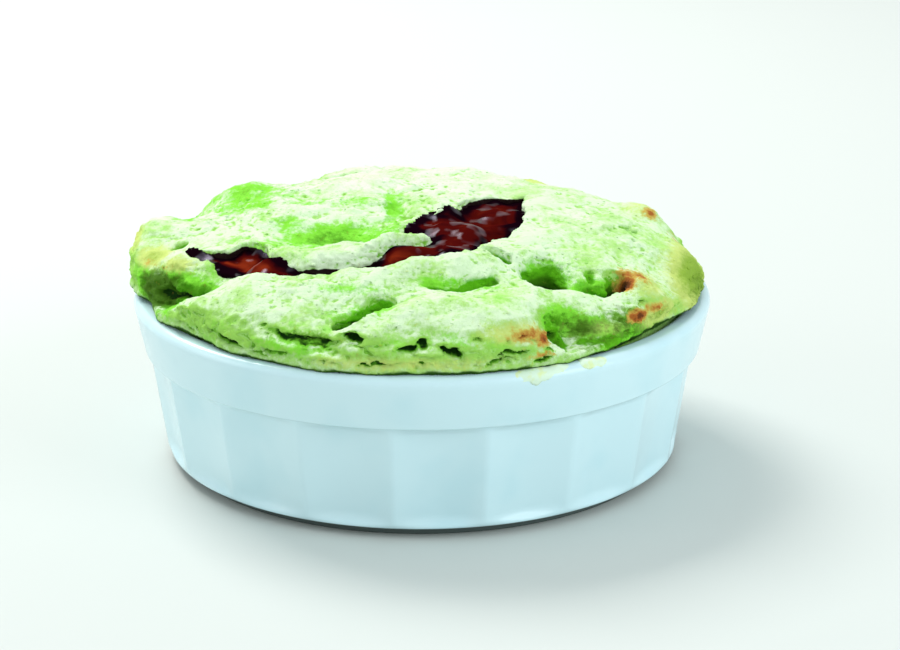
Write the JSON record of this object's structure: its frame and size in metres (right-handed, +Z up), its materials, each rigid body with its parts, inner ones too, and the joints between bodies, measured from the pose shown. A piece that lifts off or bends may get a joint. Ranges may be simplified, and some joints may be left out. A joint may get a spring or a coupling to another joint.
{
  "type": "souffle",
  "caption": "Small green souffle, risen over the rim of a fluted white porcelain dish, its crust torn open over a glossy dark filling.",
  "frame": {"origin": "centre of the dish's base, on the surface it stands on", "axes": "+Z up, -Y towards the guest, +X to the right"},
  "size_m": [0.1209, 0.12, 0.0533],
  "materials": {
    "porcelain": "white glazed porcelain with a cool cast",
    "crust": "dry baked crust, pale green with browned tips",
    "filling": "wet dark red-brown sauce"
  },
  "bodies": {
    "root": {"ramekin": "porcelain", "souffle": "crust", "dark_filling": "filling"}
  },
  "joints": []
}
